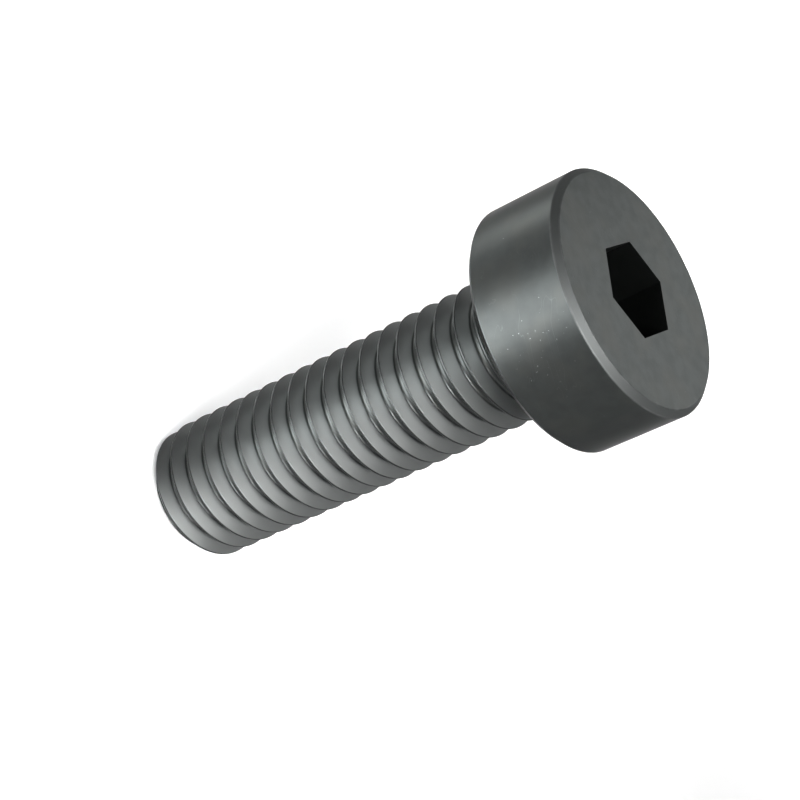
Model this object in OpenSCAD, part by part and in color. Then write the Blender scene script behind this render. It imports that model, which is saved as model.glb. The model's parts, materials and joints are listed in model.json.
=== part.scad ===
// Low head socket cap screw, M5 x 0.8 x 16, threaded to near the head.
// It stands on its point. The origin is the centre of the point's flat end, +Z runs to the head.

/* [Head] */
// Diameter of the cylindrical head
head_d = 8.5; // [7:0.1:10]
// Height of the head, from its bearing face to its top
head_h = 3.5; // [3:0.1:5]
// Chamfer round the head's top edge
top_chamfer = 0.21; // [0.05:0.01:0.4]
// Chamfer round the head's lower edge
seat_chamfer = 0.18; // [0.05:0.01:0.4]

/* [Socket] */
// Size of the hexagon key that fits, across its flats
key_size = 3; // [2.5:0.5:3.5]
// Play between the key and the socket, across the flats
key_play = 0.05; // [0.02:0.01:0.1]
// Depth of the socket's six flats
socket_depth = 2.7; // [2:0.1:2.9]
// Diameter of the drilled hole that the flats are cut into
pilot_d = 2.8; // [2.2:0.1:2.9]
// Full angle of the cone that the drill left
drill_angle = 120; // [110:1:140]

/* [Shank] */
// Length under the head, from the bearing face to the point
shank_l = 16; // [10:1:30]
// Diameter of the plain neck between the thread and the head
neck_d = 4.42; // [4.2:0.01:4.6]
// Length of the plain neck, with its fillet
neck_l = 0.5; // [0.45:0.05:2]
// Fillet between the neck and the head's bearing face
neck_fillet = 0.3; // [0.25:0.01:0.4]
// Chamfer of the point, the same along the axis as across it
point_chamfer = 0.55; // [0.4:0.01:0.8]

/* [Thread] */
// Diameter over the crests
thread_d = 4.91; // [4.83:0.01:4.98]
// Pitch, the rise in one turn
pitch = 0.8; // [0.7:0.05:1]
// Angle between the two flanks of a ridge
flank_angle = 60; // [55:1:60]
// Axial length over which the last ridge sinks into the neck
runout_l = 0.5; // [0.3:0.1:1.6]
// Angle round the axis at which a crest meets the end face
start_angle = 48.6; // [0:0.1:360]
// Steps in one turn of the thread
turn_steps = 40; // [24:4:48]

/* [Hidden] */
// A crest's flat and the groove's depth, as shares of the pitch
crest_flat_share = 0.125;
groove_depth_share = 0.6134;
// How far the cutters run past the face that they open
overrun = 0.5;
// How far the threaded piece reaches into the neck, and how far it stays inside it
neck_lap = 0.2;
neck_step = 0.02;

head_r = head_d / 2;
thread_r = thread_d / 2;
neck_r = neck_d / 2;
socket_r = (key_size + key_play) / 2 / cos(30);
pilot_r = pilot_d / 2;
drill_cone_h = pilot_r / tan(drill_angle / 2);

crest_flat = crest_flat_share * pitch;
groove_depth = groove_depth_share * pitch;
flank_run = groove_depth * tan(flank_angle / 2);
point_r = thread_r - point_chamfer;
thread_top = shank_l - neck_l;
runout_start = thread_top - runout_l;

// Heights of one ridge's four bends, counted from the middle of its crest
ridge_bends = [
    -crest_flat / 2,
    crest_flat / 2,
    crest_flat / 2 + flank_run,
    pitch - crest_flat / 2 - flank_run
];
bend_count = len(ridge_bends);
levels = bend_count * (ceil(thread_top / pitch) + 2);

// Height of a point above the middle of the crest below or above it, whichever is nearer
function from_crest(z, angle) =
    let (u = z - pitch * (angle - start_angle) / 360)
    abs(u - pitch * round(u / pitch));

// Radius of the endless thread at a height and an angle
function ridge_radius(z, angle) =
    thread_r - min(groove_depth, max(0, from_crest(z, angle) - crest_flat / 2) / tan(flank_angle / 2));

// The same, cut back by the point's chamfer and sunk into the neck at the other end
function shank_radius(z, angle) =
    let (fade = min(1, max(0, (z - runout_start) / runout_l)))
    min(
        point_r + z,
        ridge_radius(z, angle) * (1 - fade) + (neck_r - neck_step) * fade
    );

// Height of a bend at an angle, held between the end face and the neck
function bend_height(level, angle) =
    let (
        turn = floor(level / bend_count) - 1,
        z = pitch * (turn + (angle - start_angle) / 360) + ridge_bends[level % bend_count]
    )
    max(0, min(thread_top, z));

// A point of the net. The ring above the last level lies inside the neck
function shank_point(level, step) =
    let (
        angle = 360 * step / turn_steps,
        z = level < levels ? bend_height(level, angle) : thread_top + neck_lap,
        r = shank_radius(z, angle)
    )
    [r * cos(angle), r * sin(angle), z];

// One turn on, the last step meets the first one a full ridge higher
function level_one_turn_on(level) = level < levels ? min(level + bend_count, levels - 1) : levels;

function point_index(level, step) =
    step < turn_steps ? level * turn_steps + step : level_one_turn_on(level) * turn_steps;

function apart(points, face) =
    points[face[0]] != points[face[1]]
    && points[face[1]] != points[face[2]]
    && points[face[2]] != points[face[0]];

// The threaded length as one closed skin, a helical net between two flat ends
module threaded_shank() {
    skin = [for (level = [0:levels], step = [0:turn_steps - 1]) shank_point(level, step)];
    tip_centre = len(skin);
    points = concat(skin, [[0, 0, 0], [0, 0, thread_top + neck_lap]]);
    sides = [
        for (level = [0:levels - 1], step = [0:turn_steps - 1])
            let (
                a = point_index(level, step),
                b = point_index(level, step + 1),
                c = point_index(level + 1, step + 1),
                d = point_index(level + 1, step)
            )
            each [[a, d, c], [a, c, b]]
    ];
    ends = [
        for (step = [0:turn_steps - 1])
            each [
                [tip_centre, point_index(0, step), point_index(0, step + 1)],
                [tip_centre + 1, point_index(levels, step + 1), point_index(levels, step)]
            ]
    ];
    polyhedron(points = points, faces = [for (face = concat(sides, ends)) if (apart(points, face)) face]);
}

// The head and the plain neck, turned in one outline with the fillet between them
module turned_head() {
    rotate_extrude($fn = 120)
        difference() {
            union() {
                polygon([
                    [0, shank_l],
                    [head_r - seat_chamfer, shank_l],
                    [head_r, shank_l + seat_chamfer],
                    [head_r, shank_l + head_h - top_chamfer],
                    [head_r - top_chamfer, shank_l + head_h],
                    [0, shank_l + head_h]
                ]);
                translate([0, thread_top])
                    square([neck_r, neck_l]);
                translate([0, shank_l - neck_fillet])
                    square([neck_r + neck_fillet, neck_fillet]);
            }
            translate([neck_r + neck_fillet, shank_l - neck_fillet])
                circle(r = neck_fillet, $fn = 48);
        }
}

// The hexagon recess and the cone that the drill left under it
module socket() {
    translate([0, 0, shank_l + head_h - socket_depth]) {
        cylinder(r = socket_r, h = socket_depth + overrun, $fn = 6);
        translate([0, 0, -drill_cone_h])
            cylinder(r1 = 0, r2 = pilot_r, h = drill_cone_h, $fn = 64);
    }
}

module screw() {
    color([0.2, 0.2, 0.2])
        difference() {
            union() {
                turned_head();
                threaded_shank();
            }
            socket();
        }
}

screw();
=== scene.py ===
"""Dresses the low head socket cap screw and sets its stage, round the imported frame."""

import json
import math

import bmesh
import bpy
from bpy.props import FloatProperty, FloatVectorProperty, IntProperty, PointerProperty
from mathutils import Matrix, Vector


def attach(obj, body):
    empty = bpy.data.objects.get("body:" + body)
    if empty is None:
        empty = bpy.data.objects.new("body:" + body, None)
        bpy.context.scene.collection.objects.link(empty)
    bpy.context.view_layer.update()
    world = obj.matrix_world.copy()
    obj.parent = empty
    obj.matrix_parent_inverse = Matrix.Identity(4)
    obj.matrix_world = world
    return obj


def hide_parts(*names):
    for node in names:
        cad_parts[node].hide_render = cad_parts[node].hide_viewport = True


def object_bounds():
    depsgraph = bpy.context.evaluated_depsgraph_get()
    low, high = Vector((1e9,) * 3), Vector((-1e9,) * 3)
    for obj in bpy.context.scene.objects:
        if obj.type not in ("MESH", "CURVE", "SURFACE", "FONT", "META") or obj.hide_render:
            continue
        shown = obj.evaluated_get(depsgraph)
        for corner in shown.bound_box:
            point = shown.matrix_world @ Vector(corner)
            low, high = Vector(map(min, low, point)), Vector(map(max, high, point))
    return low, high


bl_info = {
    "name": "Low Head Socket Cap Screw",
    "version": (1, 0, 0),
    "blender": (4, 5, 0),
    "location": "View3D > Sidebar > Screw",
    "description": "Models a black socket cap screw with its rolled thread and its stage",
    "category": "Add Mesh",
}

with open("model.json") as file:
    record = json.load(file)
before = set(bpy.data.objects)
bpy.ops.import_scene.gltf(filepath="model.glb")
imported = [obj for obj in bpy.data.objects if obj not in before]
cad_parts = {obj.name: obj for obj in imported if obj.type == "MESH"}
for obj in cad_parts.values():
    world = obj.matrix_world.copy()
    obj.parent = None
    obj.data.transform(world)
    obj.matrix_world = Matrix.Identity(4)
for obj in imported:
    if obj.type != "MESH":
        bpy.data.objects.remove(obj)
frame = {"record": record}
cad_low, cad_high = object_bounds()
MOUNTS = {mount["name"]: mount for mount in frame["record"]["mounts"]}

# The mesh is shaped in millimetres and brought to metres at the end
MM = 0.001
# Points closer than this, in millimetres, are one point
WELD = 0.0002
HEX_SIDES = 6
SHARP_ANGLE = math.radians(32)
# Steps in a rounded corner and in the fillet, and rings in the drill's cone
CORNER_STEPS = 3
FILLET_STEPS = 8
CONE_RINGS = 4

# Where the mask of each zone starts and ends, in mm past the radius or height that bounds the zone
CREST_FADE = (-0.02, -0.005)
ROOT_FADE = (0.03, 0.09)
UNDER_HEAD_FADE = (-0.04, -0.1)
RIM_FADE = (-0.24, -0.2)
SEAT_FADE = (0.21, 0.17)
CHAMFER_FADE = (-0.04, -0.01)
EDGE_FADE = (0.06, 0.015)
SIDE_FADE = (-0.03, -0.06)
SOCKET_WALL_FADE = (0.15, 0.1)
SOCKET_MOUTH_FADE = (-0.01, -0.05)
SOCKET_FLOOR_FADE = (-1, -0.9)
# Values of the noise at which a cloud, a warm tint and a patch of scratches start and are full
CLOUD_FADE = (0.32, 0.68)
TINT_FADE = (0.45, 0.7)
PATCH_FADE = (0.62, 0.68)
# The warp that makes a nick ragged: how fine it is, per mm, and how far it reaches, in mm
WARP_SCALE = 14
WARP_REACH = 0.12
# Share of the reach within which the nicks are closest together
CORE_SHARE = 0.3
# Edge and middle of a nick's bright speck and of its dent, in shares of the spacing
SPECK_FADE = (0.2, 0.1)
DENT_FADE = (0.34, 0.1)
# How many times a scratch is stretched along its way, and how it leans, in radians
SCRATCH_STRETCH = 25
SCRATCH_LEAN = 0.3
# Middle of a noise or a mask
MIDDLE = 0.5

# Tints of the lamps
WHITE = (1, 1, 1)
COOL = (0.97, 1.0, 1.01)
WARM = (1.0, 1.0, 0.98)
# Spreads of the lamps, in degrees, without and with a grid
OPEN = 180
GRID = 26
# Distances of the lamps from the screw, and the cards' height above the floor, in metres
BOX_DISTANCE = 0.11
CARD_DISTANCE = 0.034
CARD_HEIGHT = 0.0015


class ScrewSizes(bpy.types.PropertyGroup):
    """Sizes of the screw, in metres."""
    head_radius: FloatProperty(
        name="Head Radius", description="Radius of the cylindrical head",
        default=MOUNTS["head_side"]["dims"]["r_mm"] * MM, unit="LENGTH")
    head_top: FloatProperty(
        name="Head Top", description="Height of the head's flat top above the point",
        default=MOUNTS["head_top"]["pos_m"][2], unit="LENGTH")
    bearing_height: FloatProperty(
        name="Bearing Height", description="Height of the face under the head above the point",
        default=MOUNTS["bearing_face"]["pos_m"][2], unit="LENGTH")
    top_chamfer: FloatProperty(
        name="Top Chamfer", description="Chamfer round the head's top edge",
        default=0.21 * MM, unit="LENGTH")
    seat_chamfer: FloatProperty(
        name="Seat Chamfer", description="Chamfer round the head's lower edge",
        default=0.18 * MM, unit="LENGTH")
    edge_radius: FloatProperty(
        name="Edge Radius", description="Small rounding of the head's edges",
        default=0.02 * MM, unit="LENGTH")
    socket_width: FloatProperty(
        name="Socket Width", description="Width of the hexagon socket across its flats",
        default=3.05 * MM, unit="LENGTH")
    pilot_radius: FloatProperty(
        name="Pilot Radius", description="Radius of the drilled hole under the hexagon",
        default=1.4 * MM, unit="LENGTH")
    drill_angle: FloatProperty(
        name="Drill Angle", description="Full angle of the cone that the drill left",
        default=math.radians(120), unit="ROTATION")
    neck_radius: FloatProperty(
        name="Neck Radius", description="Radius of the plain neck",
        default=2.21 * MM, unit="LENGTH")
    neck_length: FloatProperty(
        name="Neck Length", description="Length of the plain neck with its fillet",
        default=0.5 * MM, unit="LENGTH")
    neck_fillet: FloatProperty(
        name="Neck Fillet", description="Fillet between the neck and the bearing face",
        default=0.3 * MM, unit="LENGTH")
    point_chamfer: FloatProperty(
        name="Point Chamfer", description="Chamfer of the point, along the axis and across it",
        default=0.55 * MM, unit="LENGTH")


class ThreadSizes(bpy.types.PropertyGroup):
    """Sizes of the rolled thread, in metres."""
    crest_radius: FloatProperty(
        name="Crest Radius", description="Radius over the crests of the ridges",
        default=2.455 * MM, unit="LENGTH")
    pitch: FloatProperty(
        name="Pitch", description="Rise in one turn",
        default=0.8 * MM, unit="LENGTH")
    flank_angle: FloatProperty(
        name="Flank Angle", description="Angle between the two flanks of a ridge",
        default=math.radians(60), unit="ROTATION")
    crest_flat: FloatProperty(
        name="Crest Flat", description="Width of the flat on a crest",
        default=0.06 * MM, unit="LENGTH")
    groove_depth: FloatProperty(
        name="Groove Depth", description="Depth of the groove below the crests",
        default=0.4907 * MM, unit="LENGTH")
    crest_rounding: FloatProperty(
        name="Crest Rounding", description="How far the rounding of a crest's corners reaches",
        default=0.015 * MM, unit="LENGTH")
    root_rounding: FloatProperty(
        name="Root Rounding", description="How far the rounding of a root's corners reaches",
        default=0.045 * MM, unit="LENGTH")
    runout: FloatProperty(
        name="Run-out", description="Length over which the last ridge sinks into the neck",
        default=0.5 * MM, unit="LENGTH")
    start_angle: FloatProperty(
        name="Start Angle", description="Angle at which a crest meets the end face",
        default=math.radians(48.6), unit="ROTATION")
    steps: IntProperty(
        name="Steps", description="Steps in one turn, a multiple of six",
        default=120, min=36, step=6)


class SteelColours(bpy.types.PropertyGroup):
    """Colours and finish of the blackened steel."""
    base: FloatVectorProperty(
        name="Oxide", description="Colour of the black oxide",
        default=(0.048, 0.0515, 0.0505), subtype="COLOR", size=3, min=0, max=1)
    cloud: FloatVectorProperty(
        name="Cloud", description="Colour of the faint paler clouds in the oxide",
        default=(0.059, 0.063, 0.062), subtype="COLOR", size=3, min=0, max=1)
    tint: FloatVectorProperty(
        name="Tint", description="Colour of the faint warm tints",
        default=(0.063, 0.064, 0.060), subtype="COLOR", size=3, min=0, max=1)
    thread: FloatVectorProperty(
        name="Thread", description="Colour of the rolled thread, thinner in its oxide",
        default=(0.206, 0.214, 0.212), subtype="COLOR", size=3, min=0, max=1)
    rubbed: FloatVectorProperty(
        name="Rubbed Edge", description="Colour where handling has thinned the oxide",
        default=(0.22, 0.23, 0.23), subtype="COLOR", size=3, min=0, max=1)
    chamfer: FloatVectorProperty(
        name="Chamfer", description="Colour of the turned chamfer, a little thinner in its oxide",
        default=(0.078, 0.082, 0.081), subtype="COLOR", size=3, min=0, max=1)
    # Painted shade: a darker colour on the crests' flats and the head's lower edge, standing in for the dark
    # that they mirror
    painted_shade: FloatVectorProperty(
        name="Thick Oxide", description="Colour of the crests' flats and of the head's lower edge",
        default=(0.040, 0.042, 0.0415), subtype="COLOR", size=3, min=0, max=1)
    edge_tint: FloatVectorProperty(
        name="Glancing Tint", description="How much of the glancing reflection the oxide keeps",
        default=(0.5, 0.5, 0.5), subtype="COLOR", size=3, min=0, max=1)
    socket: FloatVectorProperty(
        name="Socket", description="Colour of the sooty oxide inside the socket",
        default=(0.045, 0.050, 0.048), subtype="COLOR", size=3, min=0, max=1)
    roughness: FloatProperty(
        name="Roughness", description="Roughness of the head's satin finish",
        default=0.36, min=0, max=1, subtype="FACTOR")
    chamfer_roughness: FloatProperty(
        name="Chamfer Roughness", description="Roughness of the turned chamfer",
        default=0.58, min=0, max=1, subtype="FACTOR")
    thread_roughness: FloatProperty(
        name="Thread Roughness", description="Roughness of the rolled thread",
        default=0.42, min=0, max=1, subtype="FACTOR")
    roughness_sway: FloatProperty(
        name="Roughness Sway", description="How much the clouds change the roughness",
        default=0.02, min=0, max=1, subtype="FACTOR")
    side_clouds: FloatProperty(
        name="Side Clouds", description="Strength of the clouds on the head's side",
        default=0.4, min=0, max=1, subtype="FACTOR")
    tint_share: FloatProperty(
        name="Tint Share", description="Strength of the warm tints",
        default=0.4, min=0, max=1, subtype="FACTOR")
    wear_share: FloatProperty(
        name="Wear Share", description="Strength of the wear on the edges of the head's chamfer",
        default=0.15, min=0, max=1, subtype="FACTOR")
    nick_share: FloatProperty(
        name="Nick Share", description="Strength of the bright nicks",
        default=0.8, min=0, max=1, subtype="FACTOR")
    scratch_share: FloatProperty(
        name="Scratch Share", description="Strength of the hairline scratches",
        default=0.1, min=0, max=1, subtype="FACTOR")
    handled_angle: FloatProperty(
        name="Handled Angle", description="Direction from the axis in which the nicks lie closest together",
        default=math.radians(-50), unit="ROTATION")
    handled_rise: FloatProperty(
        name="Handled Rise", description="Height of that place above the bearing face",
        default=1.7 * MM, unit="LENGTH")
    grain_height: FloatProperty(
        name="Grain Height", description="Height of the satin grain",
        default=0.0009 * MM, unit="LENGTH")
    dent_depth: FloatProperty(
        name="Dent Depth", description="Depth of a nick's dent, in heights of the grain",
        default=4, min=0)


class StageSizes(bpy.types.PropertyGroup):
    """The camera, the floor and the light."""
    camera_place: FloatVectorProperty(
        name="Camera Place", description="Where the camera stands",
        default=(34.184 * MM, -52.768 * MM, 50.082 * MM), subtype="XYZ", unit="LENGTH", size=3)
    camera_aim: FloatVectorProperty(
        name="Camera Aim", description="The point that the camera looks at",
        default=(0, 0, 9.749 * MM), subtype="XYZ", unit="LENGTH", size=3)
    camera_roll: FloatProperty(
        name="Camera Roll", description="Turn of the camera about its line of sight",
        default=math.radians(65.007), unit="ROTATION")
    lens: FloatProperty(
        name="Lens", description="Focal length, on a 36 mm sensor",
        default=99.617, min=1)
    floor_half: FloatProperty(
        name="Floor Half Width", description="Half the width of the floor",
        default=0.6, unit="LENGTH")
    floor_colour: FloatVectorProperty(
        name="Floor Colour", description="Colour of the floor",
        default=(0.8, 0.8, 0.8), subtype="COLOR", size=3, min=0, max=1)
    floor_glow: FloatProperty(
        name="Floor Glow",
        description="How far the floor near the screw shows white by itself, where 1 is all the way",
        default=0.28, min=0, max=1, subtype="FACTOR")
    glow_radius: FloatProperty(
        name="Glow Radius",
        description="Distance from the screw at which the floor is all white, with a fade from half of it",
        default=0.06, unit="LENGTH")
    horizon_strength: FloatProperty(
        name="Horizon Strength",
        description="Brightness of the pale backdrop low all round, where 1 is white",
        default=1.0, min=0)
    backdrop_rise: FloatProperty(
        name="Backdrop Rise", description="Angle above the horizon up to which the backdrop is white",
        default=math.radians(12), unit="ROTATION")
    backdrop_end: FloatProperty(
        name="Backdrop End", description="Angle above the horizon at which the backdrop has faded",
        default=math.radians(26), unit="ROTATION")
    world_strength: FloatProperty(
        name="World Strength", description="Strength of the even light from above",
        default=0.05, min=0)


def in_mm(group, *names):
    """The named sizes of a property group, in millimetres."""
    return [getattr(group, name) / MM for name in names]


def corner_radius(width):
    """Radius over the corners of a hexagon, from its width across the flats."""
    return width / 2 / math.cos(math.pi / HEX_SIDES)


def upright_chain(bm, points):
    """A chain of edges through (radius, height) points, in the plane of +X and Z."""
    verts = [bm.verts.new((radius, 0, height)) for radius, height in points]
    for low, high in zip(verts, verts[1:]):
        bm.edges.new((low, high))
    return verts


def round_corners(bm, verts, reach, segments):
    """Rounds the chain at some of its points."""
    bmesh.ops.bevel(
        bm, geom=verts, offset=reach, offset_type="OFFSET", segments=segments,
        profile=0.5, affect="VERTICES", material=-1, clamp_overlap=True)


def guard_long_edges(bm, shortest, margin):
    """Puts a point near each end of every long edge, so that its flat shades flat."""
    for edge in [e for e in bm.edges if e.calc_length() > shortest]:
        first, last = edge.verts
        share = margin / edge.calc_length()
        _, near = bmesh.utils.edge_split(edge, first, share)
        rest = next(e for e in near.link_edges if last in e.verts)
        bmesh.utils.edge_split(rest, last, share / (1 - share))


def spin_about_axis(bm, steps, rise, merge):
    """Spins all that is there one full turn about Z, counterclockwise."""
    bmesh.ops.spin(
        bm, geom=bm.verts[:] + bm.edges[:], cent=(0, 0, 0), axis=(0, 0, 1),
        dvec=(0, 0, rise / steps), angle=math.tau, steps=steps, use_merge=merge)


def set_radius(vert, radius):
    """Moves a point straight out from the axis, or in."""
    share = radius / math.hypot(vert.co.x, vert.co.y)
    vert.co.x *= share
    vert.co.y *= share


def thread_chain(bm, thread, bottom, top):
    """The outline of the ridges in one upright plane, from below the point to above the neck."""
    crest_r, pitch, crest_flat, depth = in_mm(
        thread, "crest_radius", "pitch", "crest_flat", "groove_depth")
    flank_run = depth * math.tan(thread.flank_angle / 2)
    root_r = crest_r - depth
    first_crest = -pitch * thread.start_angle / math.tau
    count = math.ceil((top - bottom) / pitch)
    points = []
    for turn in range(count):
        crest = first_crest + bottom + pitch * turn
        points += [
            (root_r, crest - crest_flat / 2 - flank_run),
            (crest_r, crest - crest_flat / 2),
            (crest_r, crest + crest_flat / 2),
            (root_r, crest + crest_flat / 2 + flank_run),
        ]
    verts = upright_chain(bm, points)
    crests = [v for v in verts if v.co.x > crest_r - WELD]
    roots = [v for v in verts if v.co.x < root_r + WELD]
    return crests, roots


def make_shank(screw, thread):
    """The threaded shank with its chamfered point, open at the top where the neck begins."""
    pitch, crest_r, runout = in_mm(thread, "pitch", "crest_radius", "runout")
    neck_r, neck_l, chamfer, bearing = in_mm(
        screw, "neck_radius", "neck_length", "point_chamfer", "bearing_height")
    crest_rounding, root_rounding = in_mm(thread, "crest_rounding", "root_rounding")
    top = bearing - neck_l
    point_r = crest_r - chamfer
    spare_turns = 2
    long_edge, guard = pitch / 3, pitch / 25
    bm = bmesh.new()
    crests, roots = thread_chain(bm, thread, -spare_turns * pitch, top + spare_turns * pitch)
    round_corners(bm, crests, crest_rounding, CORNER_STEPS)
    roots = [v for v in roots if v.is_valid]
    round_corners(bm, roots, root_rounding, CORNER_STEPS)
    guard_long_edges(bm, long_edge, guard)
    spin_about_axis(bm, thread.steps, pitch, False)
    bmesh.ops.remove_doubles(bm, verts=bm.verts, dist=WELD)
    spare = [
        f for f in bm.faces
        if max(v.co.z for v in f.verts) < -pitch or min(v.co.z for v in f.verts) > top + pitch]
    bmesh.ops.delete(bm, geom=spare, context="FACES")
    cut_along_point_cone(bm, point_r)
    for vert in bm.verts:
        radius = math.hypot(vert.co.x, vert.co.y)
        fade = min(1, max(0, (vert.co.z - (top - runout)) / runout))
        radius += (neck_r - radius) * fade
        vert.co.z = min(top, max(0, vert.co.z))
        set_radius(vert, min(radius, point_r + vert.co.z))
    bmesh.ops.remove_doubles(bm, verts=bm.verts, dist=WELD)
    bmesh.ops.dissolve_degenerate(bm, edges=bm.edges, dist=WELD)
    return bm


def cut_along_point_cone(bm, point_r):
    """Splits the faces of the ridges along the cone of the point's chamfer."""
    def outside(vert):
        return math.hypot(vert.co.x, vert.co.y) - point_r - vert.co.z

    crossings = []
    for edge in bm.edges[:]:
        first, last = (outside(v) for v in edge.verts)
        if first * last < 0 and min(abs(first), abs(last)) > WELD:
            crossings.append((edge, first / (first - last)))
    cuts = [bmesh.utils.edge_split(edge, edge.verts[0], share)[1] for edge, share in crossings]
    bmesh.ops.connect_verts(bm, verts=cuts)


def close_point(bm):
    """Closes the flat end of the point, with a narrow ring at its rim so that it shades flat."""
    rim_ring, middle_ring = 0.05, 0.9
    rim = [e for e in bm.edges if e.is_boundary and max(v.co.z for v in e.verts) < WELD]
    cap = bmesh.ops.edgeloop_fill(bm, edges=rim)["faces"]
    for width in (rim_ring, middle_ring):
        bmesh.ops.inset_region(bm, faces=cap, thickness=width, use_even_offset=True)
    bmesh.ops.poke(bm, faces=cap)


def make_head(screw, thread):
    """The neck, its fillet and the head as one turned skin, open for the socket and the shank."""
    head_r, head_top, bearing, top_chamfer, seat_chamfer = in_mm(
        screw, "head_radius", "head_top", "bearing_height", "top_chamfer", "seat_chamfer")
    neck_r, neck_l, fillet, edge_radius = in_mm(
        screw, "neck_radius", "neck_length", "neck_fillet", "edge_radius")
    flat_ring = 4 * top_chamfer
    bm = bmesh.new()
    chain = upright_chain(bm, [
        (neck_r, bearing - neck_l),
        (neck_r, bearing),
        (head_r - seat_chamfer, bearing),
        (head_r, bearing + seat_chamfer),
        (head_r, head_top - top_chamfer),
        (head_r - top_chamfer, head_top),
        (head_r - flat_ring, head_top),
    ])
    outer_corners = chain[2:6]
    round_corners(bm, outer_corners, edge_radius, CORNER_STEPS)
    inner_corner = min(bm.verts, key=lambda v: abs(v.co.x - neck_r) + abs(v.co.z - bearing))
    round_corners(bm, [inner_corner], fillet, FILLET_STEPS)
    guard_long_edges(bm, 2 * edge_radius, edge_radius)
    spin_about_axis(bm, thread.steps, 0, True)
    return bm


def edges_of(verts):
    """The edges that meet these points, each of them once, in the order of the points."""
    return list(dict.fromkeys(e for v in verts for e in v.link_edges))


def hexagon(bm, width, height, steps):
    """A hexagon of edges with a corner towards +X, each side cut into equal steps."""
    verts = bmesh.ops.create_circle(bm, segments=HEX_SIDES, radius=corner_radius(width))["verts"]
    bmesh.ops.rotate(bm, verts=verts, matrix=Matrix.Rotation(math.pi / 2, 3, "Z"))
    bmesh.ops.translate(bm, verts=verts, vec=(0, 0, height))
    bmesh.ops.subdivide_edges(bm, edges=edges_of(verts), cuts=steps // HEX_SIDES - 1)
    return [e for e in bm.edges if e.is_wire and all(abs(v.co.z - height) < WELD for v in e.verts)]


def extrude_down(bm, loop, drop, share=1):
    """Extrudes a level loop of edges down, scaled about the axis, and gives its lower loop."""
    geom = bmesh.ops.extrude_edge_only(bm, edges=loop)["geom"]
    verts = [v for v in geom if isinstance(v, bmesh.types.BMVert)]
    bmesh.ops.scale(bm, verts=verts, vec=(share, share, 1))
    bmesh.ops.translate(bm, verts=verts, vec=(0, 0, -drop))
    return [e for e in geom if isinstance(e, bmesh.types.BMEdge) and all(v in verts for v in e.verts)]


def cut_socket(bm, screw, thread):
    """Opens the hexagon socket in the head's top, with the drill's cone under it."""
    head_top, width, pilot_r = in_mm(screw, "head_top", "socket_width", "pilot_radius")
    shelf = MOUNTS["hex_socket"]["pos_m"][2] / MM
    cone_depth = pilot_r / math.tan(screw.drill_angle / 2)
    steps = thread.steps
    rim = [e for e in bm.edges if e.is_boundary and min(v.co.z for v in e.verts) > head_top - WELD]
    mouth = hexagon(bm, width, head_top, steps)
    bmesh.ops.bridge_loops(bm, edges=rim + mouth)
    foot = extrude_down(bm, mouth, head_top - shelf)
    pilot = bmesh.ops.create_circle(bm, segments=steps, radius=pilot_r)["verts"]
    bmesh.ops.rotate(bm, verts=pilot, matrix=Matrix.Rotation(math.pi / 2, 3, "Z"))
    bmesh.ops.translate(bm, verts=pilot, vec=(0, 0, shelf))
    loop = edges_of(pilot)
    bmesh.ops.bridge_loops(bm, edges=foot + loop)
    ring_drop = cone_depth / CONE_RINGS
    for ring in range(CONE_RINGS, 1, -1):
        loop = extrude_down(bm, loop, ring_drop, (ring - 1) / ring)
    tip = bmesh.ops.edgeloop_fill(bm, edges=loop)["faces"]
    centre = bmesh.ops.poke(bm, faces=tip)["verts"]
    bmesh.ops.translate(bm, verts=centre, vec=(0, 0, -ring_drop))


def joined(first, second):
    """Adds the second bmesh's skin to the first and merges the rings where they meet."""
    mesh = bpy.data.meshes.new("joining")
    second.to_mesh(mesh)
    second.free()
    first.from_mesh(mesh)
    bpy.data.meshes.remove(mesh)
    bmesh.ops.remove_doubles(first, verts=first.verts, dist=WELD)
    return first


def make_piece(bm, name, material):
    """Turns the skin into an object in metres, at the origin."""
    bmesh.ops.recalc_face_normals(bm, faces=bm.faces)
    open_edges = sum(1 for e in bm.edges if not e.is_manifold)
    if open_edges:
        raise RuntimeError(f"{name} has {open_edges} open edges")
    bmesh.ops.triangulate(bm, faces=[f for f in bm.faces if len(f.verts) > 4])
    bmesh.ops.scale(bm, verts=bm.verts, vec=(MM, MM, MM))
    for face in bm.faces:
        face.smooth = True
    mesh = bpy.data.meshes.new(name)
    bm.to_mesh(mesh)
    bm.free()
    mesh.set_sharp_from_angle(angle=SHARP_ANGLE)
    mesh.materials.append(material)
    piece = bpy.data.objects.new(name, mesh)
    bpy.context.scene.collection.objects.link(piece)
    return piece


def new_material(name):
    """An empty node material, as its node tree and its Principled shader."""
    material = bpy.data.materials.new(name)
    material.use_nodes = True
    tree = material.node_tree
    shader = next(n for n in tree.nodes if n.type == "BSDF_PRINCIPLED")
    return material, tree, shader


def feed(tree, node, inputs):
    """Gives a node's inputs their numbers or links."""
    for name, value in inputs.items():
        if isinstance(value, bpy.types.NodeSocket):
            tree.links.new(value, node.inputs[name])
        else:
            node.inputs[name].default_value = value


def add_node(tree, kind, inputs, **settings):
    """Adds a shader node, with its settings, and numbers or links for its inputs."""
    node = tree.nodes.new("ShaderNode" + kind)
    for name, value in settings.items():
        setattr(node, name, value)
    feed(tree, node, inputs)
    return node


def calculate(tree, operation, *terms):
    """The result of a Math node."""
    return add_node(tree, "Math", dict(enumerate(terms)), operation=operation).outputs["Value"]


def product(tree, value, *factors):
    """The product of several values."""
    for factor in factors:
        value = calculate(tree, "MULTIPLY", value, factor)
    return value


def fade(tree, value, start, end):
    """A smooth mask, 0 at start and 1 at end. The end may be the lower of the two."""
    inputs = {"Value": value, "From Min": start, "From Max": end}
    return add_node(tree, "MapRange", inputs, interpolation_type="SMOOTHSTEP").outputs["Result"]


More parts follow.
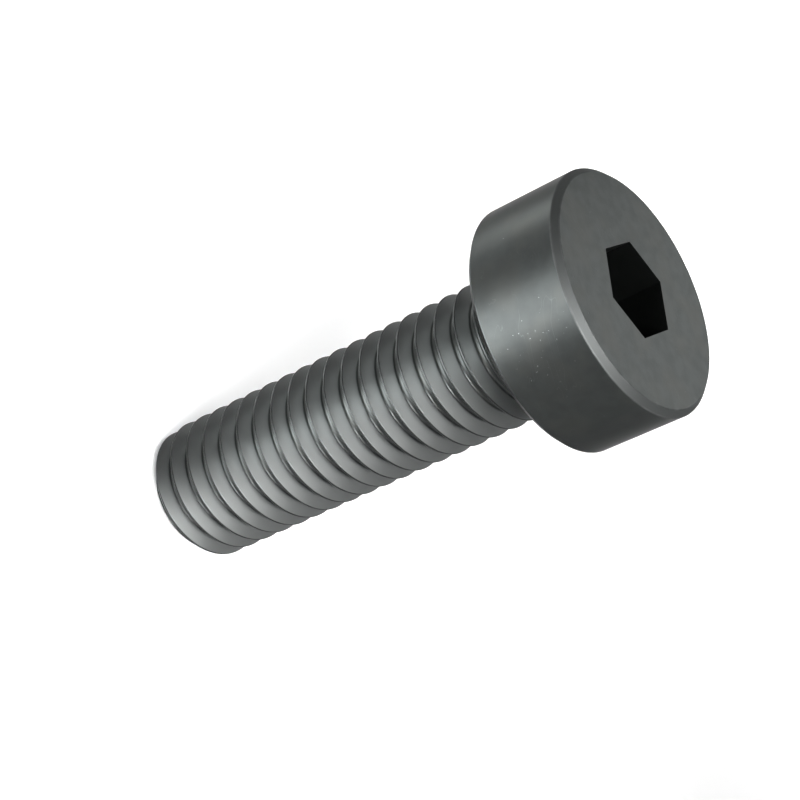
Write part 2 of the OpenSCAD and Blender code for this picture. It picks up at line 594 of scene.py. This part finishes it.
def mixed_values(tree, mask, first, second):
    """The first value where the mask is 0, and the second where it is 1."""
    return add_node(tree, "Mix", {0: mask, 2: first, 3: second}, data_type="FLOAT").outputs[0]


def mixed_colours(tree, mask, first, second):
    """The first colour where the mask is 0, and the second where it is 1."""
    return add_node(tree, "Mix", {0: mask, 6: first, 7: second}, data_type="RGBA").outputs[2]


def noise(tree, position, size, detail):
    """Soft noise from 0 to 1, with blotches of about this size."""
    scale = calculate(tree, "DIVIDE", 1, size)
    inputs = {"Vector": position, "Scale": scale, "Detail": detail, "Roughness": 0.55}
    return add_node(tree, "TexNoise", inputs).outputs[0]


def new_group(name, inputs, outputs):
    """An empty shader node group, as its tree, the sockets that it is given, and its output node."""
    tree = bpy.data.node_groups.new(name, "ShaderNodeTree")
    for label, kind in inputs.items():
        tree.interface.new_socket(label, in_out="INPUT", socket_type="NodeSocket" + kind)
    for label in outputs:
        tree.interface.new_socket(label, in_out="OUTPUT", socket_type="NodeSocketFloat")
    given = tree.nodes.new("NodeGroupInput").outputs
    result = tree.nodes.new("NodeGroupOutput")
    return tree, given, result


def put_out(tree, result, **values):
    """Links a group's results to its outputs."""
    for label, value in values.items():
        tree.links.new(value, result.inputs[label])


def placed(tree, group, inputs):
    """Places a node group with its own values, and gives its outputs."""
    node = tree.nodes.new("ShaderNodeGroup")
    node.node_tree = group
    feed(tree, node, inputs)
    return node.outputs


def zones_group():
    """Masks of the screw's zones, from lengths in mm. The mask for painted shade covers the crests and the
    seat's edge.
    """
    tree, given, result = new_group("screw_zones", {
        "Position": "Vector", "Crest Radius": "Float", "Root Radius": "Float", "Bearing Height": "Float",
        "Head Radius": "Float", "Head Top": "Float", "Chamfer": "Float", "Socket Radius": "Float",
    }, ("Flank", "Thick", "Chamfer", "Edge", "Side", "Socket"))
    height = add_node(tree, "SeparateXYZ", {"Vector": given["Position"]}).outputs["Z"]
    across = add_node(
        tree, "VectorMath", {0: given["Position"], 1: (1, 1, 0)}, operation="MULTIPLY").outputs[0]
    radius = add_node(tree, "VectorMath", {0: across}, operation="LENGTH").outputs["Value"]

    def past(value, limit):
        return calculate(tree, "SUBTRACT", value, limit)

    def beyond(value, limit, band):
        return fade(tree, past(value, limit), *band)

    def ring_distance(ring_radius, ring_height):
        out = calculate(tree, "POWER", past(radius, ring_radius), 2)
        up = calculate(tree, "POWER", past(height, ring_height), 2)
        return calculate(tree, "SQRT", calculate(tree, "ADD", out, up))

    tip = beyond(radius, given["Crest Radius"], CREST_FADE)
    slim = calculate(tree, "SUBTRACT", 1, tip)
    proud = beyond(radius, given["Root Radius"], ROOT_FADE)
    below = beyond(height, given["Bearing Height"], UNDER_HEAD_FADE)
    rim = beyond(radius, given["Head Radius"], RIM_FADE)
    seat = product(tree, rim, beyond(height, given["Bearing Height"], SEAT_FADE))
    cone = past(calculate(tree, "ADD", past(radius, given["Head Radius"]), height), given["Head Top"])
    cone = calculate(tree, "ADD", cone, given["Chamfer"])
    outer = ring_distance(given["Head Radius"], past(given["Head Top"], given["Chamfer"]))
    inner = ring_distance(past(given["Head Radius"], given["Chamfer"]), given["Head Top"])
    inside = beyond(radius, given["Socket Radius"], SOCKET_WALL_FADE)
    deep = beyond(height, given["Head Top"], SOCKET_MOUTH_FADE)
    above = beyond(height, given["Bearing Height"], SOCKET_FLOOR_FADE)
    put_out(
        tree, result,
        Flank=product(tree, slim, proud, below),
        # Mask of the painted shade on the crests and the head's lower edge
        Thick=calculate(tree, "MAXIMUM", product(tree, tip, below), seat),
        Chamfer=fade(tree, cone, *CHAMFER_FADE),
        Edge=fade(tree, calculate(tree, "MINIMUM", outer, inner), *EDGE_FADE),
        Side=beyond(height, given["Head Top"], SIDE_FADE),
        Socket=product(tree, inside, deep, above))
    return tree


def clouds_group():
    """Faint clouds in the oxide, and wider warm tints."""
    tree, given, result = new_group(
        "oxide_clouds", {"Position": "Vector", "Cloud Size": "Float", "Tint Size": "Float"},
        ("Cloud", "Tint"))
    put_out(
        tree, result,
        Cloud=fade(tree, noise(tree, given["Position"], given["Cloud Size"], detail=4), *CLOUD_FADE),
        Tint=fade(tree, noise(tree, given["Position"], given["Tint Size"], detail=2), *TINT_FADE))
    return tree


def marks_group():
    """Small ragged nicks, close together round one place and rare elsewhere: bright specks in dents."""
    tree, given, result = new_group("small_nicks", {
        "Position": "Vector", "Spacing": "Float", "Share": "Float", "Rare Share": "Float",
        "Place": "Vector", "Reach": "Float",
    }, ("Nick", "Depth"))
    scale = calculate(tree, "DIVIDE", 1, given["Spacing"])
    warp = add_node(tree, "TexNoise", {
        "Vector": given["Position"], "Scale": WARP_SCALE, "Detail": 2}).outputs["Color"]
    ragged = add_node(
        tree, "VectorMath", {0: warp, 1: (WARP_REACH,) * 3, 2: given["Position"]},
        operation="MULTIPLY_ADD").outputs[0]
    cells = add_node(tree, "TexVoronoi", {"Vector": ragged, "Scale": scale}).outputs
    picks = add_node(tree, "SeparateColor", {"Color": cells["Color"]}).outputs
    away = add_node(
        tree, "VectorMath", {0: given["Position"], 1: given["Place"]}, operation="DISTANCE").outputs["Value"]
    close = fade(tree, away, given["Reach"], product(tree, given["Reach"], CORE_SHARE))
    share = mixed_values(tree, close, given["Rare Share"], given["Share"])
    kept = calculate(tree, "LESS_THAN", picks["Red"], share)
    strength = product(tree, kept, picks["Green"])
    put_out(
        tree, result,
        Nick=product(tree, strength, fade(tree, cells["Distance"], *SPECK_FADE)),
        Depth=product(tree, strength, fade(tree, cells["Distance"], *DENT_FADE)))
    return tree


def scratches_group():
    """Hairlines where noise crosses its middle, along the way in which the position is squeezed."""
    tree, given, result = new_group("hairline_scratches", {
        "Position": "Vector", "Line Size": "Float", "Width": "Float", "Patch Size": "Float",
    }, ("Scratch",))
    lines = noise(tree, given["Position"], given["Line Size"], detail=1)
    offset = calculate(tree, "ABSOLUTE", calculate(tree, "SUBTRACT", lines, MIDDLE))
    hairline = fade(tree, offset, given["Width"], 0)
    patch = fade(tree, noise(tree, given["Position"], given["Patch Size"], detail=0), *PATCH_FADE)
    put_out(tree, result, Scratch=product(tree, hairline, patch))
    return tree


def skin_group():
    """Height of the satin skin: a fine grain on broad, very shallow waves."""
    tree, given, result = new_group("satin_skin", {
        "Position": "Vector", "Grain Size": "Float", "Wave Size": "Float", "Wave Share": "Float",
    }, ("Height",))
    grain = noise(tree, given["Position"], given["Grain Size"], detail=2)
    wave = noise(tree, given["Position"], given["Wave Size"], detail=1)
    waves = product(tree, wave, given["Wave Share"])
    put_out(tree, result, Height=calculate(tree, "ADD", grain, waves))
    return tree


def blackened_steel(screw, thread, colours):
    """Black oxide on steel: dark satin metal with clouds, nicks and lightly rubbed edges, and painted shade
    on the crests' flats and the head's lower edge.
    """
    material, tree, shader = new_material("black_oxide_steel")
    here = add_node(tree, "TexCoord", {}).outputs["Object"]
    position = add_node(tree, "Mapping", {"Vector": here, "Scale": (1 / MM,) * 3}).outputs["Vector"]
    head_r, head_top, bearing, chamfer, socket_width = in_mm(
        screw, "head_radius", "head_top", "bearing_height", "top_chamfer", "socket_width")
    crest_r, depth = in_mm(thread, "crest_radius", "groove_depth")
    zones = placed(tree, zones_group(), {
        "Position": position, "Crest Radius": crest_r, "Root Radius": crest_r - depth,
        "Bearing Height": bearing, "Head Radius": head_r, "Head Top": head_top,
        "Chamfer": chamfer, "Socket Radius": corner_radius(socket_width)})
    clouds = placed(tree, clouds_group(), {
        "Position": position, "Cloud Size": 0.4, "Tint Size": 1.24})
    handled = colours.handled_angle
    nicks = placed(tree, marks_group(), {
        "Position": position, "Spacing": 0.13, "Share": 0.3, "Rare Share": 0.004, "Reach": 2.2,
        "Place": (
            head_r * math.cos(handled), head_r * math.sin(handled), bearing + colours.handled_rise / MM)})
    squeezed = add_node(tree, "Mapping", {
        "Vector": position, "Rotation": (0, SCRATCH_LEAN, handled + math.pi / 2),
        "Scale": (SCRATCH_STRETCH, 1, 1)}, vector_type="TEXTURE").outputs["Vector"]
    scratches = placed(tree, scratches_group(), {
        "Position": squeezed, "Line Size": 0.35, "Width": 0.006, "Patch Size": 0.5})
    skin = placed(tree, skin_group(), {
        "Position": position, "Grain Size": 0.07, "Wave Size": 0.5, "Wave Share": 1.5})

    calm = mixed_values(tree, zones["Side"], 1, colours.side_clouds)
    cloud = product(tree, clouds["Cloud"], calm)
    tint = product(tree, clouds["Tint"], colours.tint_share)
    worn = product(tree, zones["Edge"], clouds["Cloud"], colours.wear_share)
    nicked = product(tree, nicks["Nick"], zones["Side"], colours.nick_share)
    scratched = product(tree, scratches["Scratch"], colours.scratch_share)
    rubbed = calculate(tree, "MAXIMUM", worn, calculate(tree, "MAXIMUM", nicked, scratched))
    body = (*colours.base, 1)
    for mask, colour in (
            (cloud, colours.cloud), (tint, colours.tint), (zones["Flank"], colours.thread),
            (zones["Chamfer"], colours.chamfer), (rubbed, colours.rubbed),
            # The crests' flats and the head's lower edge get painted shade, darker than the oxide
            (zones["Thick"], colours.painted_shade), (zones["Socket"], colours.socket)):
        body = mixed_colours(tree, mask, body, (*colour, 1))
    tree.links.new(body, shader.inputs["Base Color"])

    satin = mixed_values(tree, zones["Flank"], colours.roughness, colours.thread_roughness)
    satin = mixed_values(tree, zones["Chamfer"], satin, colours.chamfer_roughness)
    sway = calculate(tree, "SUBTRACT", clouds["Cloud"], MIDDLE)
    sway = product(tree, sway, colours.roughness_sway)
    tree.links.new(calculate(tree, "ADD", satin, sway), shader.inputs["Roughness"])

    dents = product(tree, nicks["Depth"], -colours.dent_depth)
    relief = calculate(tree, "ADD", skin["Height"], dents)
    bump = add_node(tree, "Bump", {"Height": relief, "Distance": colours.grain_height})
    tree.links.new(bump.outputs["Normal"], shader.inputs["Normal"])
    shader.inputs["Metallic"].default_value = 1
    shader.inputs["Specular Tint"].default_value = (*colours.edge_tint, 1)
    return material


class SCREW_OT_body(bpy.types.Operator):
    """Models the screw as one closed skin and puts it in the place of the plain solid"""
    bl_idname = "screw.body"
    bl_label = "Screw Body"

    def execute(self, context):
        screw, thread = context.scene.screw_sizes, context.scene.thread_sizes
        shank = make_shank(screw, thread)
        close_point(shank)
        head = make_head(screw, thread)
        cut_socket(head, screw, thread)
        skin = joined(shank, head)
        steel = blackened_steel(screw, thread, context.scene.steel_colours)
        piece = make_piece(skin, "screw_body", steel)
        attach(piece, "root")
        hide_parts("screw")
        return {"FINISHED"}


def seen_directly(tree):
    """1 for the camera's own rays and for what shows in metal and glass, and 0 for matt light."""
    rays = add_node(tree, "LightPath", {}).outputs
    seen = calculate(tree, "MAXIMUM", rays["Is Camera Ray"], rays["Is Glossy Ray"])
    return calculate(tree, "MAXIMUM", seen, rays["Is Transmission Ray"])


def white_floor(stage):
    """Pale matt floor that glows for the camera and for what mirrors it, and most of all far out."""
    material, tree, shader = new_material("pale_floor")
    nearly_matt = 0.9
    shader.inputs["Base Color"].default_value = (*stage.floor_colour, 1)
    shader.inputs["Roughness"].default_value = nearly_matt
    shader.inputs["Emission Color"].default_value = (1, 1, 1, 1)
    here = add_node(tree, "TexCoord", {}).outputs["Object"]
    away = add_node(tree, "VectorMath", {0: here}, operation="LENGTH").outputs["Value"]
    wide = fade(tree, away, stage.glow_radius / 2, stage.glow_radius)
    glow = product(tree, seen_directly(tree), mixed_values(tree, wide, stage.floor_glow, 1))
    tree.links.new(glow, shader.inputs["Emission Strength"])
    return material


def add_floor(stage):
    """The pale floor that the screw stands on."""
    bm = bmesh.new()
    bmesh.ops.create_grid(bm, x_segments=1, y_segments=1, size=stage.floor_half)
    mesh = bpy.data.meshes.new("floor")
    bm.to_mesh(mesh)
    bm.free()
    mesh.materials.append(white_floor(stage))
    floor = bpy.data.objects.new("floor", mesh)
    bpy.context.scene.collection.objects.link(floor)


def pale_surroundings(stage):
    """A dim world that shows white low all round, as a backdrop does."""
    world = bpy.data.worlds.new("studio")
    world.use_nodes = True
    tree = world.node_tree
    background = tree.nodes["Background"]
    background.inputs["Color"].default_value = (1, 1, 1, 1)
    direction = add_node(tree, "TexCoord", {}).outputs["Generated"]
    rise = add_node(tree, "SeparateXYZ", {"Vector": direction}).outputs["Z"]
    low = fade(tree, rise, math.sin(stage.backdrop_end), math.sin(stage.backdrop_rise))
    shown = product(tree, low, seen_directly(tree))
    strength = mixed_values(tree, shown, stage.world_strength, stage.horizon_strength)
    tree.links.new(strength, background.inputs["Strength"])
    return world


def around(azimuth, elevation, distance, centre):
    """A point in this direction, in degrees, and at this distance from the centre."""
    turn, rise = math.radians(azimuth), math.radians(elevation)
    level = distance * math.cos(rise)
    return centre + Vector((level * math.cos(turn), level * math.sin(turn), distance * math.sin(rise)))


def add_lamp(name, place, aim, width, strength, colour=WHITE, spread=OPEN):
    """A soft square lamp. With an open spread, strength 1 is as bright as a white wall."""
    data = bpy.data.lights.new(name, "AREA")
    data.shape = "SQUARE"
    data.size = width
    data.energy = strength * math.pi * width ** 2
    data.color = colour
    data.spread = math.radians(spread)
    lamp = bpy.data.objects.new(name, data)
    lamp.visible_camera = False
    bpy.context.scene.collection.objects.link(lamp)
    lamp.location = place
    lamp.rotation_euler = (place - aim).to_track_quat("Z", "Y").to_euler()


def add_boxes():
    """Soft boxes round the screw, with grids on those in front."""
    middle = (cad_low + cad_high) / 2
    for name, azimuth, elevation, width, strength, spread in (
            ("front_box", -58, 54, 0.035, 0.48, GRID),
            ("right_box", -22, 53, 0.035, 0.56, GRID),
            ("far_right_box", 18, 52, 0.035, 0.19, GRID),
            ("low_box", -42, 40, 0.035, 1.75, GRID),
            ("top_box", 120, 32, 0.035, 3.1, OPEN),
            ("far_side_box", 60, 28, 0.050, 1.05, OPEN),
            ("back_box", -150, 35, 0.035, 0.18, OPEN)):
        place = around(azimuth, elevation, BOX_DISTANCE, middle)
        add_lamp(name, place, middle, width, strength, spread=spread)


def add_cards():
    """Low cards in front and at the left, which the head's side mirrors."""
    low = Vector((0, 0, CARD_HEIGHT))
    head = Vector((0, 0, MOUNTS["head_side"]["pos_m"][2]))
    for name, azimuth, width, strength, colour in (
            ("front_card", -79, 0.020, 5.3, COOL),
            ("front_card_right", -62, 0.014, 2.9, COOL),
            ("front_card_left", -93, 0.014, 1.2, COOL),
            ("left_card", -159, 0.013, 5.6, WARM)):
        add_lamp(name, around(azimuth, 0, CARD_DISTANCE, low), head, width, strength, colour)


def add_crest_cards():
    """Flat cards beside the point that face up and draw a bright line along the crests."""
    low, up = Vector((0, 0, CARD_HEIGHT)), Vector((0, 0, 1))
    for name, azimuth, distance, width, strength in (
            ("near_crest_card", -78, 0.010, 0.005, 8.0),
            ("far_crest_card", -76, 0.018, 0.012, 17.0),
            ("near_left_crest_card", -150, 0.010, 0.005, 6.0),
            ("far_left_crest_card", -150, 0.018, 0.009, 6.0)):
        place = around(azimuth, 0, distance, low)
        add_lamp(name, place, place + up, width, strength, COOL)


def add_floor_boxes():
    """Steep boxes that light the floor behind the screw."""
    for name, spot, azimuth, elevation, distance, width, strength, spread in (
            ("near_floor_box", (-0.020, 0.026, 0), 135, 75, 0.10, 0.030, 0.8, 70),
            ("far_floor_box", (-0.030, 0.055, 0), 110, 75, 0.11, 0.030, 5.2, 90)):
        aim = Vector(spot)
        place = around(azimuth, elevation, distance, aim)
        add_lamp(name, place, aim, width, strength, spread=spread)


def add_camera(stage):
    """The camera at the photograph's viewing angle."""
    data = bpy.data.cameras.new("camera")
    data.lens = stage.lens
    data.sensor_width = 36
    data.clip_start, data.clip_end = 0.001, 10
    camera = bpy.data.objects.new("camera", data)
    bpy.context.scene.collection.objects.link(camera)
    place, aim = Vector(stage.camera_place), Vector(stage.camera_aim)
    look = (place - aim).to_track_quat("Z", "Y").to_matrix()
    turn = look @ Matrix.Rotation(stage.camera_roll, 3, "Z")
    camera.matrix_world = Matrix.Translation(place) @ turn.to_4x4()
    bpy.context.scene.camera = camera


class SCREW_OT_stage(bpy.types.Operator):
    """Sets the camera, the pale floor and the soft lamps"""
    bl_idname = "screw.stage"
    bl_label = "Stage"

    def execute(self, context):
        stage = context.scene.stage_sizes
        add_floor(stage)
        add_boxes()
        add_cards()
        add_crest_cards()
        add_floor_boxes()
        context.scene.world = pale_surroundings(stage)
        add_camera(stage)
        context.scene.view_settings.view_transform = "Standard"
        return {"FINISHED"}


class SCREW_PT_sidebar(bpy.types.Panel):
    """Lists the screw's operators in the sidebar"""
    bl_idname = "SCREW_PT_sidebar"
    bl_label = "Socket Cap Screw"
    bl_space_type = "VIEW_3D"
    bl_region_type = "UI"
    bl_category = "Screw"

    def draw(self, context):
        for operator in OPERATORS:
            self.layout.operator(operator.bl_idname)


GROUPS = {
    "screw_sizes": ScrewSizes,
    "thread_sizes": ThreadSizes,
    "steel_colours": SteelColours,
    "stage_sizes": StageSizes,
}
OPERATORS = (SCREW_OT_body, SCREW_OT_stage)


def register():
    for name, group in GROUPS.items():
        bpy.utils.register_class(group)
        setattr(bpy.types.Scene, name, PointerProperty(type=group))
    for cls in (*OPERATORS, SCREW_PT_sidebar):
        bpy.utils.register_class(cls)


def unregister():
    for cls in (SCREW_PT_sidebar, *reversed(OPERATORS)):
        bpy.utils.unregister_class(cls)
    for name, group in reversed(GROUPS.items()):
        delattr(bpy.types.Scene, name)
        bpy.utils.unregister_class(group)


def main():
    """Runs the add-on's operators in order."""
    register()
    bpy.ops.screw.body()
    bpy.ops.screw.stage()


if __name__ == "__main__":
    main()
